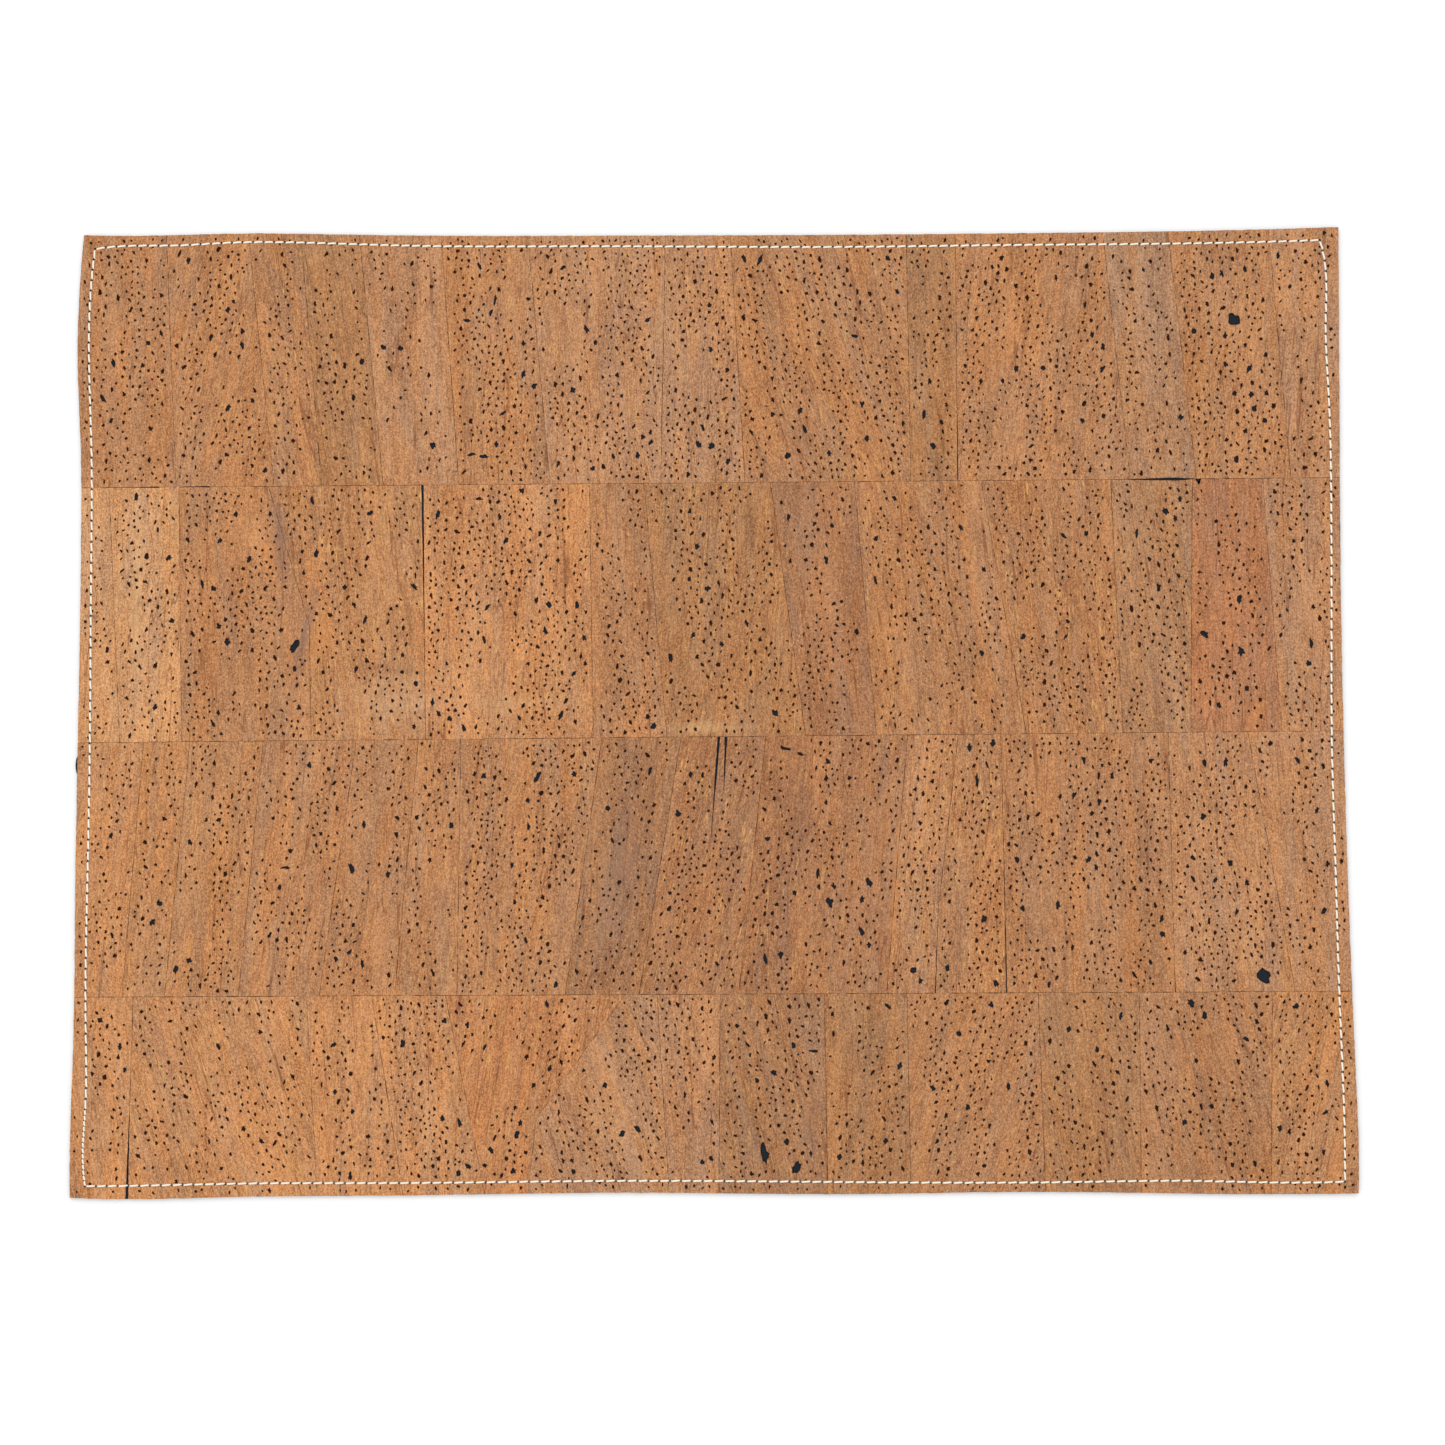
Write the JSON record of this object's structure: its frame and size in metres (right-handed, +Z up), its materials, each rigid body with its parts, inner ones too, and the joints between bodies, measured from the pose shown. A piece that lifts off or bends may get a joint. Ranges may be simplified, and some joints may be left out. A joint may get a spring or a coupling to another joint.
{
  "type": "desk mat",
  "caption": "Flat rectangular desk mat of cork planks on dark cloth, with a thin lining underneath and a stitched edge.",
  "frame": {"origin": "on the table, under the middle of the mat", "axes": "+X along the long side, to the right; +Y towards the far side; +Z up, out of the cork face"},
  "size_m": [0.452, 0.3434, 0.0023],
  "materials": {
    "cork": "natural cork, satin sealed",
    "backing_cloth": "woven, matt",
    "lining": "microfibre, matt",
    "thread": "twisted polyester"
  },
  "bodies": {
    "root": {"cork_plank_a01": "cork", "cork_plank_a02": "cork", "cork_plank_a03": "cork", "cork_plank_a04": "cork", "cork_plank_a05": "cork", "cork_plank_a06": "cork", "cork_plank_a07": "cork", "cork_plank_a08": "cork", "cork_plank_a09": "cork", "cork_plank_a10": "cork", "cork_plank_a11": "cork", "cork_plank_a12": "cork", "cork_plank_a13": "cork", "cork_plank_a14": "cork", "cork_plank_b01": "cork", "cork_plank_b02": "cork", "cork_plank_b03": "cork", "cork_plank_b04": "cork", "cork_plank_b05": "cork", "cork_plank_b06": "cork", "cork_plank_b07": "cork", "cork_plank_b08": "cork", "cork_plank_b09": "cork", "cork_plank_b10": "cork", "cork_plank_b11": "cork", "cork_plank_b12": "cork", "cork_plank_b13": "cork", "cork_plank_c01": "cork", "cork_plank_c02": "cork", "cork_plank_c03": "cork", "cork_plank_c04": "cork", "cork_plank_c05": "cork", "cork_plank_c06": "cork", "cork_plank_c07": "cork", "cork_plank_c08": "cork", "cork_plank_c09": "cork", "cork_plank_c10": "cork", "cork_plank_c11": "cork", "cork_plank_c12": "cork", "cork_plank_c13": "cork", "cork_plank_c14": "cork", "cork_plank_c15": "cork", "cork_plank_d01": "cork", "cork_plank_d02": "cork", "cork_plank_d03": "cork", "cork_plank_d04": "cork", "cork_plank_d05": "cork", "cork_plank_d06": "cork", "cork_plank_d07": "cork", "cork_plank_d08": "cork", "cork_plank_d09": "cork", "cork_plank_d10": "cork", "cork_plank_d11": "cork", "cork_plank_d12": "cork", "cork_plank_d13": "cork", "backing_cloth": "backing_cloth", "underside_lining": "lining", "needle_thread": "thread", "bobbin_thread": "thread"}
  },
  "joints": []
}
